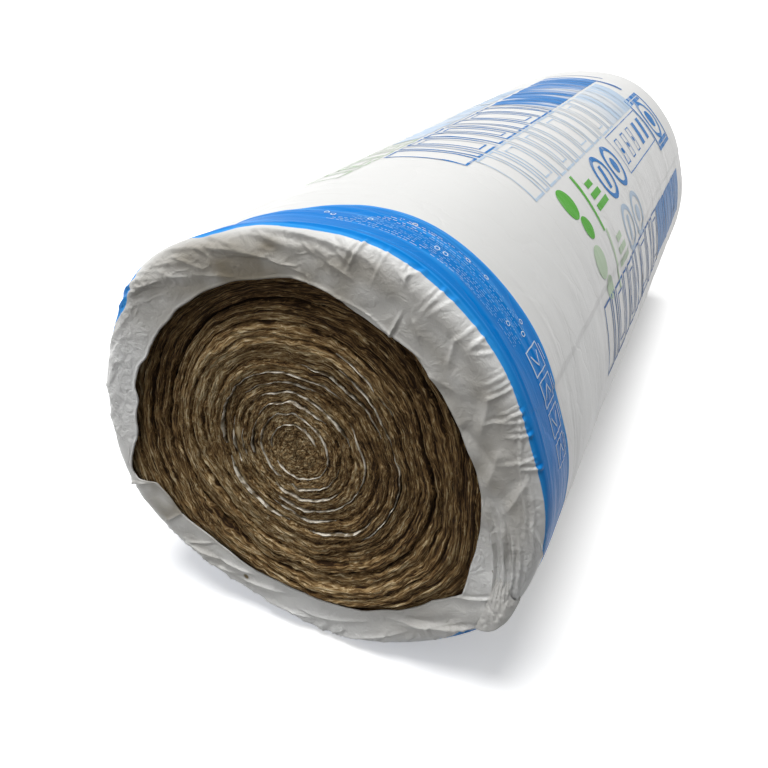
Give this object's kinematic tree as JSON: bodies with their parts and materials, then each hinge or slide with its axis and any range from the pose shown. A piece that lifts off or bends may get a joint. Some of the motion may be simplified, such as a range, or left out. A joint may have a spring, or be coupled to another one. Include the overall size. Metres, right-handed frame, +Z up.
{
  "type": "insulation roll",
  "caption": "Roll of brown glass wool insulation wound up tight in a pale plastic film sleeve with a blue end band, open at its ends and lying on its side.",
  "frame": {"origin": "on the floor, under the middle of the roll's bounding box", "axes": "+Y along the roll, from its pictured open end towards its far end, +Z up, +X to the right as the open end is faced"},
  "size_m": [0.4972, 1.2, 0.4687],
  "materials": {
    "wool": "brown glass wool, layered fine fibres, matt",
    "facing": "thin pale facing with a slight sheen",
    "film": "pale translucent polyethylene film with printed marks, glossy, wrinkled"
  },
  "bodies": {
    "root": {"wool_roll": "wool", "facing_sheet": "facing", "film_sleeve": "film"}
  },
  "joints": []
}
